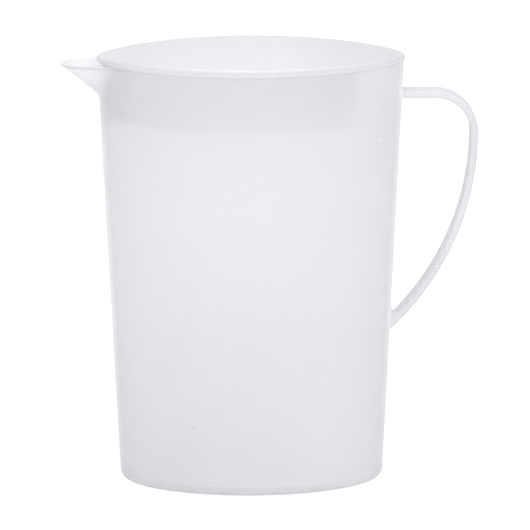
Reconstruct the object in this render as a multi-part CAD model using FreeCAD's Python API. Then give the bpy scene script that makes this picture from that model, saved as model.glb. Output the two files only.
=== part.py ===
import FreeCAD, Part
import math
import os

# A slim fridge jug moulded in milky polypropylene, with its push-in lid.
#
# The plan of the jug is a pointed oval at the rim and a plain oval at the base.  A round-lipped
# spout stands out of one narrow end, at rim level, and a flat strap handle loops out of the other.
# The lid is one moulding: a crowned panel with a rounded edge that lies on the rim, and a deep
# plug skirt that closes the mouth of the spout.  Towards the handle the skirt is cut away, so
# that the lid turned round lets the jug pour.
#
# Millimetres.  Origin in the middle of the flat underside, +X towards the handle, -X towards the
# spout, +Z up.  The jug is the same on both sides of the XZ plane.

Vector = FreeCAD.Vector

# Body
rim_height = 226.0
rim_half_length = 80.6
rim_half_width = 54.0
rim_end_radius = 7.0
base_half_length = 69.9
base_half_width = 43.3
base_end_radius = 25.0
wall = 1.8
floor_thickness = 2.2
base_corner_radius = 6.0
rim_edge_radius = 0.5

# Spout, a tongue with a round lip that narrows down its keel
spout_reach = 20.3
spout_drop = 17.1
spout_lip_radius = 14.5
spout_lip_half_width = 24.0
spout_keel_radius = 4.5
spout_keel_half_width = 5.5
spout_root_depth = 22.0
spout_blend_radius = 5.0

# Handle, a flat strap: straight out, round the shoulder, then one long sweep back
handle_drop = 15.2
handle_reach = 39.1
handle_width = 14.0
handle_thickness = 3.8
handle_shoulder_radius = 22.7
handle_sweep_radius = 145.0
handle_sweep_angle = 56.0
handle_root_depth = 12.0
handle_edge_radius = 1.2
handle_blend_radius = 2.0

# Lid
lid_overhang = 0.5
lid_edge_height = 3.9
lid_edge_radius = 1.5
lid_crown = 1.6
lid_panel_thickness = 1.6
lid_line_height = 2.7
lid_line_width = 0.5
lid_line_depth = 0.5
skirt_depth = 29.3
skirt_wall = 1.5
skirt_clearance = 0.7
skirt_lead_in = 1.2
skirt_opening_start = 57.0
skirt_opening_radius = 5.0

# Working values
plan_points = 24
clear_of_all = 200.0
on_skin = 0.001


def plan_at(height):
    """Half length, half width and end radius of the body's outer plan at a height."""
    share = height / rim_height
    half_length = base_half_length + (rim_half_length - base_half_length) * share
    half_width = base_half_width + (rim_half_width - base_half_width) * share
    end_radius = base_end_radius + (rim_end_radius - base_end_radius) * share
    return half_length, half_width, end_radius


def oval(height, offset=0.0):
    """The body's plan at a height, grown by an offset, as one smooth closed wire.

    The line is given by how far its tangent lies from the middle as the line turns:
    mean + pull * cos(2 * turn) + point * cos(4 * turn).  An offset moves it evenly all round.
    """
    half_length, half_width, end_radius = plan_at(height)
    average = (half_length + half_width) / 2
    pull = (half_length - half_width) / 2
    point = (average - 3 * pull - end_radius) / 16
    mean = average - point + offset
    side_radius = mean + 3 * pull - 15 * point
    turns = [math.pi / 2 + 2 * math.pi * step / plan_points for step in range(plan_points + 1)]
    points = []
    for turn in turns[:-1]:
        reach = mean + pull * math.cos(2 * turn) + point * math.cos(4 * turn)
        change = -2 * pull * math.sin(2 * turn) - 4 * point * math.sin(4 * turn)
        x = reach * math.cos(turn) - change * math.sin(turn)
        y = reach * math.sin(turn) + change * math.cos(turn)
        points.append(Vector(x, y, height))
    line = Part.BSplineCurve()
    line.interpolate(Points=points, PeriodicFlag=True, Parameters=turns, Scale=False,
                     Tangents=[Vector(-side_radius, 0, 0)] * plan_points,
                     TangentFlags=[turn == turns[0] for turn in turns[:-1]])
    return Part.Wire([line.toShape()])


def loft(lower, upper):
    """A closed solid with straight sides from one wire to the other."""
    return Part.makeLoft([lower, upper], True, True)


def raised(wire, height):
    """A wire filled and pulled straight up by a height."""
    return Part.Face(wire).extrude(Vector(0, 0, height))


def edges_where(shape, test):
    """The shape's edges whose bounding boxes pass a test."""
    return [edge for edge in shape.Edges if test(edge.BoundBox)]


def lies_on(edge, skin):
    """True where both ends and the middle of an edge lie on a skin."""
    middle = (edge.FirstParameter + edge.LastParameter) / 2
    spots = [edge.FirstParameter, middle, edge.LastParameter]
    return all(skin.distToShape(Part.Vertex(edge.valueAt(spot)))[0] < on_skin for spot in spots)


def blended(solid, skin, radius, test):
    """Rounds the corner where something stands out of the skin."""
    corner = [edge for edge in edges_where(solid, test) if lies_on(edge, skin)]
    return solid.makeFillet(radius, corner)


def body_outside():
    """The jug's outer form without spout and handle, with its rounded base corner."""
    form = loft(oval(0.0), oval(rim_height))
    corner = edges_where(form, lambda box: box.ZMax < on_skin)
    return form.makeFillet(base_corner_radius, corner)


def body_inside():
    """The hollow: the outer form moved in by the wall, with a rounded corner at the floor."""
    hollow = loft(oval(floor_thickness, -wall), oval(rim_height, -wall))
    corner = edges_where(hollow, lambda box: box.ZMax < floor_thickness + on_skin)
    return hollow.makeFillet(base_corner_radius - wall, corner)


def tongue(height, tip_x, tip_radius, half_width, root_x):
    """A round-tipped tongue in plan, widening from the tip to the root line."""
    centre_x = tip_x + tip_radius
    lean = math.atan2(half_width - tip_radius, root_x - centre_x)
    touch_x = centre_x - tip_radius * math.sin(lean)
    touch_y = tip_radius * math.cos(lean)
    tip = Vector(tip_x, 0, height)
    near = Vector(touch_x, -touch_y, height)
    far = Vector(touch_x, touch_y, height)
    root_near = Vector(root_x, -half_width, height)
    root_far = Vector(root_x, half_width, height)
    edges = [
        Part.LineSegment(root_near, near).toShape(),
        Part.Arc(near, tip, far).toShape(),
        Part.LineSegment(far, root_far).toShape(),
        Part.LineSegment(root_far, root_near).toShape(),
    ]
    return Part.Wire(edges)


def spout_form(inset):
    """The spout as a solid, its faces moved in by an inset, its keel running into the body."""
    keel_height = rim_height - spout_drop
    keel_x = -plan_at(keel_height)[0]
    lip_x = -rim_half_length - spout_reach
    root_x = -rim_half_length + spout_root_depth
    keel_slope = math.atan2(spout_drop, keel_x - lip_x)
    tip_inset = inset / math.sin(keel_slope)
    lip = tongue(rim_height, lip_x + tip_inset, spout_lip_radius - inset,
                 spout_lip_half_width - inset, root_x)
    keel = tongue(keel_height, keel_x + tip_inset, spout_keel_radius - inset,
                  spout_keel_half_width - inset, root_x)
    return loft(keel, lip)


def strap_side(inset):
    """The strap's side line, moved in from its outer face by an inset, from root to end."""
    top = rim_height - handle_drop
    outer_x = rim_half_length + handle_reach
    shoulder_x = outer_x - handle_shoulder_radius
    shoulder_height = top - handle_shoulder_radius
    sweep_x = outer_x - handle_sweep_radius
    shoulder = handle_shoulder_radius - inset
    sweep = handle_sweep_radius - inset

    def on_shoulder(angle):
        turn = math.radians(angle)
        return Vector(shoulder_x + shoulder * math.cos(turn), 0,
                      shoulder_height + shoulder * math.sin(turn))

    def on_sweep(angle):
        turn = math.radians(angle)
        return Vector(sweep_x + sweep * math.cos(turn), 0,
                      shoulder_height - sweep * math.sin(turn))

    root = Vector(rim_half_length - handle_root_depth, 0, top - inset)
    end = on_sweep(handle_sweep_angle)
    edges = [
        Part.LineSegment(root, on_shoulder(90)).toShape(),
        Part.Arc(on_shoulder(90), on_shoulder(45), on_shoulder(0)).toShape(),
        Part.Arc(on_sweep(0), on_sweep(handle_sweep_angle / 2), end).toShape(),
    ]
    return edges, root, end


def handle_form():
    """The strap: its side profile pulled across its width, with its long edges rounded."""
    outer, outer_root, outer_end = strap_side(0.0)
    inner, inner_root, inner_end = strap_side(handle_thickness)
    root = Part.LineSegment(outer_root, inner_root).toShape()
    end = Part.LineSegment(outer_end, inner_end).toShape()
    profile = Part.Face(Part.Wire(Part.__sortEdges__(outer + inner + [root, end])))
    profile.translate(Vector(0, -handle_width / 2, 0))
    strap = profile.extrude(Vector(0, handle_width, 0))
    long_edges = edges_where(strap, lambda box: box.YLength < on_skin
                             and box.DiagonalLength > 2 * handle_thickness)
    return strap.makeFillet(handle_edge_radius, long_edges)


def jug():
    """Body, spout and handle as one moulding."""
    body = body_outside()
    skin = body.Shells[0]
    spout_low = rim_height - spout_drop - spout_blend_radius
    solid = body.fuse(spout_form(0.0)).Solids[0]
    solid = blended(solid, skin, spout_blend_radius, lambda box: box.XMax < 0
                    and box.ZMin > spout_low and box.ZLength > spout_blend_radius)
    solid = solid.fuse(handle_form()).Solids[0]
    solid = blended(solid, skin, handle_blend_radius, lambda box: box.XMin > base_half_width
                    and box.ZMax < rim_height - handle_blend_radius
                    and box.ZLength < handle_width)
    solid = solid.cut([body_inside(), spout_form(wall)]).Solids[0]
    rim_edges = edges_where(solid, lambda box: box.ZMin > rim_height - on_skin)
    return solid.makeFillet(rim_edge_radius, rim_edges).Solids[0]


def lid_panel():
    """The panel and its edge: crowned by a very large ball, rounded, with a fine line round it."""
    half_length = rim_half_length + lid_overhang
    blank = raised(oval(rim_height, lid_overhang), lid_edge_height + lid_crown)
    crown_radius = (half_length ** 2 + lid_crown ** 2) / (2 * lid_crown)
    crown_centre = rim_height + lid_edge_height + lid_crown - crown_radius
    panel = blank.common(Part.makeSphere(crown_radius, Vector(0, 0, crown_centre)))
    edges = edges_where(panel, lambda box: box.XLength > half_length)
    panel = panel.makeFillet(lid_edge_radius, edges)
    groove = raised(oval(rim_height, lid_overhang + lid_line_depth), lid_line_width)
    groove = groove.cut(raised(oval(rim_height, lid_overhang - lid_line_depth), lid_line_width))
    groove.translate(Vector(0, 0, lid_line_height))
    return panel.cut(groove)


def skirt_form(inset):
    """The plug skirt as a solid, its sides moved in by an inset."""
    gap = wall + skirt_clearance + inset
    return loft(oval(rim_height - skirt_depth, -gap - skirt_lead_in), oval(rim_height, -gap))


def skirt_opening():
    """What is cut from the skirt towards the handle, with a rounded inner corner."""
    corner = Vector(skirt_opening_start, -clear_of_all / 2, rim_height - clear_of_all)
    block = Part.makeBox(clear_of_all, clear_of_all, clear_of_all, corner)
    inner = edges_where(block, lambda box: box.XMax < skirt_opening_start + on_skin
                        and box.ZMin > rim_height - on_skin)
    return block.makeFillet(skirt_opening_radius, inner)


def lid():
    """Panel, edge and skirt as one moulding."""
    recess_outline = oval(rim_height, -wall - skirt_clearance - skirt_wall)
    recess = raised(recess_outline, lid_edge_height - lid_panel_thickness)
    skirt = skirt_form(0.0).cut(skirt_opening())
    return lid_panel().fuse(skirt).cut([skirt_form(skirt_wall), recess]).Solids[0]


def main():
    os.makedirs("parts", exist_ok=True)
    nodes = {"pitcher": jug(), "lid": lid()}
    for name, shape in nodes.items():
        print(name, shape.ShapeType, "valid", shape.isValid(), "faces", len(shape.Faces),
              "volume in cubic cm", round(shape.Volume / 1000, 1))
        shape.exportStep("parts/" + name + ".step")


main()
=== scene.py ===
import bpy
import bmesh
import math
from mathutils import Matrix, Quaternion, Vector

# A slim fridge jug of milky polypropylene with its push-in lid, on a white studio floor.
# Metres.  +Z up, +X towards the handle, -Y towards the viewer.

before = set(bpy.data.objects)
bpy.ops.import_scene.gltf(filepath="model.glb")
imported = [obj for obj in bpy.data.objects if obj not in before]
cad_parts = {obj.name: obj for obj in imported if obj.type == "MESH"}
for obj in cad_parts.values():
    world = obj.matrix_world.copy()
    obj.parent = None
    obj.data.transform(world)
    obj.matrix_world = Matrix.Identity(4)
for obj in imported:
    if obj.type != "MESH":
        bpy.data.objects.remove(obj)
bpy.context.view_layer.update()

# Where the viewer stands
view_target = Vector((0.00738, 0.0, 0.11625))
view_distance = 2.4
view_azimuth = math.radians(-1.34)
view_elevation = math.radians(12.5)
view_roll = 0.0016
lens_mm = 306.8

# Studio: light from all round, the white that the viewer sees, and the floor
room_strength = 0.64
shown_room_strength = 1.0
shown_floor_strength = 1.08
shown_floor_share = 0.9
floor_colour = (0.8, 0.8, 0.8, 1)
floor_half = 4.0
white = (1, 1, 1, 1)

# Softboxes: place, width and height, power
lamps_aim = (0.0, 0.0, 0.12)
key_place, key_size, key_watts = (0.03, -1.3, 0.9), (1.7, 1.0), 12.0
overhead_place, overhead_size, overhead_watts = (0.0, 0.1, 1.5), (1.4, 1.0), 7.0

# Milky plastic, as linear colours: light where it is thin, deep where it is thick or where shade
# is painted in
light_tone = (0.962, 0.962, 0.985, 1)
deep_and_shaded_tone = (0.885, 0.885, 0.914, 1)
# Painted shade on the lid's skirt, deepest at its top
skirt_low_shade_tone = (0.892, 0.892, 0.912, 1)
skirt_top_shade_tone = (0.81, 0.81, 0.83, 1)
strap_tone = (0.862, 0.862, 0.885, 1)
# Painted shade at the right end of the lid's panel
right_end_shade_tone = (0.79, 0.79, 0.815, 1)
# Painted shade along the pitcher's foot
foot_shade_tone = (0.845, 0.845, 0.87, 1)
# Painted shade: a dark line along the front of the spout's rim
lip_shade_tone = (0.76, 0.76, 0.78, 1)
speck_tone = (0.35, 0.34, 0.33, 1)

# How much of what lies behind shows through one wall
wall_clear = 0.56
low_clear = 0.34
spout_clear = 0.42
strap_clear = 0.0
foot_clear = 0.15
panel_clear = 0.20
skirt_clear = 0.05
skirt_gap_clear = 0.9

# The share of the light that goes in and scatters on through, and how rough each finish is
through_share = 0.4
pitcher_satin = 0.38
lid_satin = 0.34
plastic_ior = 1.49

# The body's narrow ends stand this far out, and this much further for each metre up
body_end_low = 0.0700
body_end_lean = 0.0473

# Where each zone of the pitcher begins and is full, across, back or up
strap_out = (0.0, 0.002)
spout_out = (0.0, 0.005)
foot_up = (0.0005, 0.0085)
foot_right = (0.0, 0.05)
low_up = (0.0, 0.15)
wall_up = (0.01, 0.10)
bend_bottom, bend_top = (0.118, 0.130), (0.150, 0.180)
outer_middle, outer_out = -0.02, (0.02, 0.07)
root_up, root_right = (0.180, 0.200), (-0.078, -0.066)
lip_bottom, lip_top = (0.2243, 0.2247), (0.2257, 0.2260)
lip_right, lip_back = (-0.070, -0.060), (-0.004, 0.002)
front_face = (-0.01, 0.0)

# How strongly those zones act
# Painted shade: how much darker the pitcher grows towards the bottom, and how much less of it at
# the ends
low_painted_shade, outer_shade_easing = 1.2, 0.7
# Painted shade along the foot fades this much towards the handle side
foot_right_fading = 0.7
bend_fading = 0.25
root_hiding = 0.2
lip_hiding = 0.7

# Zones of the lid and how strongly they act
skirt_end = (0.2250, 0.2262)
edge_end = (0.2290, 0.2302)
panel_middle, panel_out = -0.004, (0.02, 0.085)
panel_back = (-0.04, 0.05)
panel_right = (0.02, 0.080)
skirt_up = (0.197, 0.226)
skirt_middle, skirt_out = 0.01, (0.03, 0.08)
skirt_gap_right = (0.044, 0.0575)
# The panel's own tone, then painted shade towards its ends and darkening towards its back
panel_density, ends_shade, back_darkening = 0.3, 0.7, 0.35
# Painted shade on the lid's side band, less of it towards the ends
edge_band_shade, edge_shade_easing = 0.8, 1.2
# How strongly shade is painted on the right end of the panel
right_end_shade_share = 0.6
# How much less shade is painted on the skirt towards its sides
skirt_side_shade_easing = 0.9

# Lumps of the moulded skin, its slow waves, the plastic's cloudiness and its flow marks
peel_size = 0.0016
wave_size = 0.030
cloud_size = 0.045
drag_size, drag_squeeze = 0.006, (1.0, 1.0, 0.12)
cloud_swing, drag_swing = 2.4, 0.8
cloud_share = 0.05
relief_depth, relief_strength = 0.0004, 0.2
peel_height, wave_height = 0.04, 0.6
peel_roughness, wave_roughness = 0.05, 0.10

# Specks and nicks in the front face: across, up, size, strength
specks = [(-0.0309, 0.0379, 0.0012, 0.45), (0.0675, 0.1876, 0.0014, 0.15),
          (0.0618, 0.1696, 0.0010, 0.30), (0.0523, 0.0196, 0.0012, 0.18)]


class Value:
    """A number socket.  Arithmetic on it adds Math nodes."""

    def __init__(self, nodes, socket):
        self.nodes = nodes
        self.socket = socket

    def _math(self, operation, *operands, clamp=False):
        inputs = {index: operand for index, operand in enumerate(operands)}
        settings = {"operation": operation, "use_clamp": clamp}
        node = self.nodes.add("ShaderNodeMath", settings, inputs)
        return Value(self.nodes, node.outputs[0])

    def __add__(self, other):
        return self._math("ADD", self, other)

    def __sub__(self, other):
        return self._math("SUBTRACT", self, other)

    def __mul__(self, other):
        return self._math("MULTIPLY", self, other)

    def __pow__(self, other):
        return self._math("POWER", self, other)

    def __neg__(self):
        return self._math("MULTIPLY", self, -1.0)

    def __abs__(self):
        return self._math("ABSOLUTE", self)

    def __rsub__(self, other):
        return self._math("SUBTRACT", other, self)

    __radd__ = __add__
    __rmul__ = __mul__

    def clamped(self):
        return self._math("ADD", self, 0.0, clamp=True)

    def max(self, other):
        return self._math("MAXIMUM", self, other)

    def step(self, low, high):
        """0 below low, 1 above high, smooth between."""
        node = self.nodes.add("ShaderNodeMapRange", {"interpolation_type": "SMOOTHSTEP"},
                              {"Value": self, "From Min": low, "From Max": high})
        return Value(self.nodes, node.outputs[0])

    def ramp(self, low, high):
        """0 below low, 1 above high, straight between."""
        node = self.nodes.add("ShaderNodeMapRange", {"interpolation_type": "LINEAR"},
                              {"Value": self, "From Min": low, "From Max": high})
        return Value(self.nodes, node.outputs[0])


class Nodes:
    """A node tree under construction."""

    def __init__(self, tree):
        self.tree = tree
        self.tree.nodes.clear()

    def add(self, kind, settings=None, inputs=None):
        """Adds a node: settings first, then each input's value or link."""
        node = self.tree.nodes.new(kind)
        for name, value in (settings or {}).items():
            setattr(node, name, value)
        for key, value in (inputs or {}).items():
            socket = node.inputs[key]
            source = value.socket if isinstance(value, Value) else value
            if isinstance(source, bpy.types.NodeSocket):
                self.tree.links.new(source, socket)
            else:
                socket.default_value = source
        return node

    def value(self, kind, settings=None, inputs=None, output=0):
        return Value(self, self.add(kind, settings, inputs).outputs[output])

    def place(self):
        """Object coordinates, in metres."""
        return self.add("ShaderNodeTexCoord").outputs["Object"]

    def axes(self, place):
        """The three coordinates of a place, as numbers."""
        node = self.add("ShaderNodeSeparateXYZ", inputs={0: place})
        return [Value(self, output) for output in node.outputs]

    def noise(self, place, size, detail=2.0, roughness=0.5):
        """Smooth noise from 0 to 1 whose lumps are about a size across."""
        inputs = {"Vector": place, "Scale": 1.0 / size, "Detail": detail, "Roughness": roughness}
        return self.value("ShaderNodeTexNoise", inputs=inputs)

    def stretched(self, place, scale):
        return self.add("ShaderNodeMapping", {"vector_type": "POINT"},
                        {"Vector": place, "Scale": scale}).outputs[0]

    def mixed(self, factor, first, second):
        """Blends two colours."""
        inputs = {0: factor, 6: first, 7: second}
        return self.add("ShaderNodeMix", {"data_type": "RGBA"}, inputs).outputs[2]

    def shaders(self, factor, first, second):
        """Blends two shaders."""
        inputs = {0: factor, 1: first, 2: second}
        return self.add("ShaderNodeMixShader", inputs=inputs).outputs[0]

    def finish(self, shader, kind="ShaderNodeOutputMaterial"):
        self.add(kind, inputs={"Surface": shader})


def new_material(name):
    material = bpy.data.materials.new(name)
    material.use_nodes = True
    return material, Nodes(material.node_tree)


def milky(nodes, place, tone, clear, satin):
    """Finishes a tree as milky polypropylene: it scatters most light, lets some through and
    shows a little of what lies behind."""
    peel = nodes.noise(place, peel_size)
    wave = nodes.noise(place, wave_size, detail=1.0)
    relief = nodes.add("ShaderNodeBump", inputs={
        "Strength": relief_strength, "Distance": relief_depth,
        "Height": peel * peel_height + wave * wave_height}).outputs[0]
    rough = satin + (wave - 0.5) * wave_roughness + (peel - 0.5) * peel_roughness
    body = nodes.add("ShaderNodeBsdfPrincipled", inputs={
        "Base Color": tone, "Roughness": rough, "IOR": plastic_ior, "Normal": relief})
    glow = nodes.add("ShaderNodeBsdfTranslucent", inputs={"Color": tone, "Normal": relief})
    milk = nodes.shaders(through_share, body.outputs[0], glow.outputs[0])
    gap = nodes.add("ShaderNodeBsdfTransparent", inputs={"Color": white})
    nodes.finish(nodes.shaders(clear, milk, gap.outputs[0]))


def clouds(nodes, place):
    """How the plastic's thickness wanders, from about -1 to 1."""
    cloud = nodes.noise(place, cloud_size)
    drag = nodes.noise(nodes.stretched(place, drag_squeeze), drag_size)
    return (cloud - 0.5) * cloud_swing + (drag - 0.5) * drag_swing


def speckled(nodes, across, depth, height):
    """How dark the specks and nicks in the front face are, and 0 elsewhere."""
    spots = 0.0
    for x, z, size, strength in specks:
        away = ((across - x) ** 2.0 + (height - z) ** 2.0) ** 0.5
        spots = spots + (1.0 - away.step(0.25 * size, size)) * strength
    return spots * (1.0 - depth.step(*front_face))


def pitcher_plastic():
    """Clearest in the thin walls, less clear towards the foot, in the spout and in the strap,
    with a denser tone in the strap; painted shade darkens it towards the bottom, along the foot
    and along the spout's front rim.
    """
    material, nodes = new_material("pitcher_milky")
    place = nodes.place()
    across, depth, height = nodes.axes(place)
    past_end = across - body_end_low - height * body_end_lean
    strap = past_end.step(*strap_out)
    spout = (-across - body_end_low - height * body_end_lean).step(*spout_out)
    foot = 1.0 - height.step(*foot_up)
    low = 1.0 - height.ramp(*low_up)
    bend = height.step(*bend_bottom) * (1.0 - height.step(*bend_top))
    outer = abs(across - outer_middle).ramp(*outer_out)
    root = height.step(*root_up) * (1.0 - across.step(*root_right))
    # Painted shade: a dark line along the front of the spout's rim, which also lets less show
    # through
    lip_shade = (height.step(*lip_bottom) * (1.0 - height.step(*lip_top))
           * (1.0 - across.step(*lip_right)) * (1.0 - depth.step(*lip_back)))
    speck = speckled(nodes, across, depth, height)
    # Painted shade, darker towards the bottom and less so at the ends, plus the plastic's random
    # cloudiness
    shade_and_density = (low * (low_painted_shade - outer * outer_shade_easing)
               + clouds(nodes, place) * cloud_share).clamped()
    tone = nodes.mixed(shade_and_density, light_tone, deep_and_shaded_tone)
    # Painted shade along the foot, fading towards the handle side
    foot_shade = foot * (1.0 - across.ramp(*foot_right) * foot_right_fading)
    tone = nodes.mixed(foot_shade, tone, foot_shade_tone)
    tone = nodes.mixed(strap * (1.0 - bend * bend_fading), tone, strap_tone)
    tone = nodes.mixed(lip_shade, tone, lip_shade_tone)
    tone = nodes.mixed(speck, tone, speck_tone)
    wall = low_clear + height.step(*wall_up) * (wall_clear - low_clear)
    wall = wall - strap * (wall_clear - strap_clear) - spout * (wall_clear - spout_clear)
    clear = wall - foot * (low_clear - foot_clear)
    clear = clear * (1.0 - root * (1.0 - spout) * root_hiding)
    clear = clear * (1.0 - speck.max(lip_shade * lip_hiding))
    milky(nodes, place, tone, clear.clamped(), pitcher_satin)
    return material


def lid_plastic():
    """A dense panel with painted shade towards its ends, at its right end and on its side band,
    darker towards its back, and a skirt under it with painted shade, deepest at its top and
    middle.
    """
    material, nodes = new_material("lid_milky")
    place = nodes.place()
    across, depth, height = nodes.axes(place)
    skirt = 1.0 - height.step(*skirt_end)
    edge = 1.0 - height.step(*edge_end)
    ends = abs(across - panel_middle).ramp(*panel_out)
    back = depth.ramp(*panel_back)
    # Painted shade towards the panel's ends and on its side band, darkening towards its back,
    # plus random cloudiness
    shade_and_density = (panel_density + ends * ends_shade + back * back_darkening
               + edge * (edge_band_shade - ends * edge_shade_easing)
               + clouds(nodes, place) * cloud_share).clamped()
    tone = nodes.mixed(shade_and_density, light_tone, deep_and_shaded_tone)
    # Painted shade on the right end of the panel
    right = across.ramp(*panel_right) * (1.0 - edge)
    tone = nodes.mixed(right * right_end_shade_share, tone, right_end_shade_tone)
    # Painted shade on the skirt, deepest at its top and middle
    sides = abs(across - skirt_middle).ramp(*skirt_out)
    skirt_shade = height.ramp(*skirt_up) * (1.0 - sides * skirt_side_shade_easing)
    skirt_shade_tone = nodes.mixed(skirt_shade, skirt_low_shade_tone, skirt_top_shade_tone)
    tone = nodes.mixed(skirt, tone, skirt_shade_tone)
    clear = panel_clear - skirt * (panel_clear - skirt_clear)
    clear = clear + skirt * across.step(*skirt_gap_right) * skirt_gap_clear
    milky(nodes, place, tone, clear, lid_satin)
    return material


def dress(node_name, material):
    """Puts a material in every slot of a piece."""
    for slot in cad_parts[node_name].material_slots:
        slot.material = material


def seen_directly(nodes):
    """1 for what the viewer sees, straight, mirrored or through clear plastic."""
    path = nodes.add("ShaderNodeLightPath").outputs
    names = ("Is Camera Ray", "Is Glossy Ray", "Is Transmission Ray")
    camera, glossy, through = [Value(nodes, path[name]) for name in names]
    return camera.max(glossy).max(through)


def studio_floor():
    """A pale floor that takes the shadow and shows as white."""
    mesh = bpy.data.meshes.new("studio_floor")
    form = bmesh.new()
    bmesh.ops.create_grid(form, x_segments=1, y_segments=1, size=floor_half)
    form.to_mesh(mesh)
    form.free()
    floor = bpy.data.objects.new("studio_floor", mesh)
    bpy.context.scene.collection.objects.link(floor)
    material, nodes = new_material("white_floor")
    lit = nodes.add("ShaderNodeBsdfDiffuse", inputs={"Color": floor_colour})
    shown = nodes.add("ShaderNodeEmission", inputs={"Color": white,
                                                    "Strength": shown_floor_strength})
    share = seen_directly(nodes) * shown_floor_share
    nodes.finish(nodes.shaders(share, lit.outputs[0], shown.outputs[0]))
    mesh.materials.append(material)


def studio_room():
    """Even light from all round, with plain white where the viewer sees it."""
    world = bpy.data.worlds.new("studio_room")
    bpy.context.scene.world = world
    world.use_nodes = True
    nodes = Nodes(world.node_tree)
    room = nodes.add("ShaderNodeBackground", inputs={"Color": white,
                                                     "Strength": room_strength})
    shown = nodes.add("ShaderNodeBackground", inputs={"Color": white,
                                                      "Strength": shown_room_strength})
    both = nodes.shaders(seen_directly(nodes), room.outputs[0], shown.outputs[0])
    nodes.finish(both, "ShaderNodeOutputWorld")


def softbox(name, place, size, watts, mirrored):
    """A soft lamp that faces the jug.  Mirrored says whether glossy surfaces show it."""
    lamp = bpy.data.lights.new(name, "AREA")
    lamp.shape = "RECTANGLE"
    lamp.size, lamp.size_y = size
    lamp.energy = watts
    light = bpy.data.objects.new(name, lamp)
    light.location = place
    light.rotation_mode = "QUATERNION"
    light.rotation_quaternion = (Vector(lamps_aim) - Vector(place)).to_track_quat("-Z", "Y")
    light.visible_glossy = mirrored
    bpy.context.scene.collection.objects.link(light)


def studio_lamps():
    softbox("key", key_place, key_size, key_watts, mirrored=False)
    softbox("overhead", overhead_place, overhead_size, overhead_watts, mirrored=True)


def viewer():
    """The camera: a long lens, a little above the rim."""
    lens = bpy.data.cameras.new("viewer")
    lens.lens = lens_mm
    lens.sensor_width = 36.0
    lens.clip_end = 20.0
    camera = bpy.data.objects.new("viewer", lens)
    offset = Vector((math.sin(view_azimuth) * math.cos(view_elevation),
                     -math.cos(view_azimuth) * math.cos(view_elevation),
                     math.sin(view_elevation)))
    camera.location = view_target + view_distance * offset
    camera.rotation_mode = "QUATERNION"
    look = (-offset).to_track_quat("-Z", "Y")
    camera.rotation_quaternion = look @ Quaternion((0, 0, 1), -view_roll)
    bpy.context.scene.collection.objects.link(camera)
    bpy.context.scene.camera = camera


def main():
    bpy.context.scene.view_settings.view_transform = "Standard"
    dress("pitcher", pitcher_plastic())
    dress("lid", lid_plastic())
    studio_floor()
    studio_room()
    studio_lamps()
    viewer()


main()
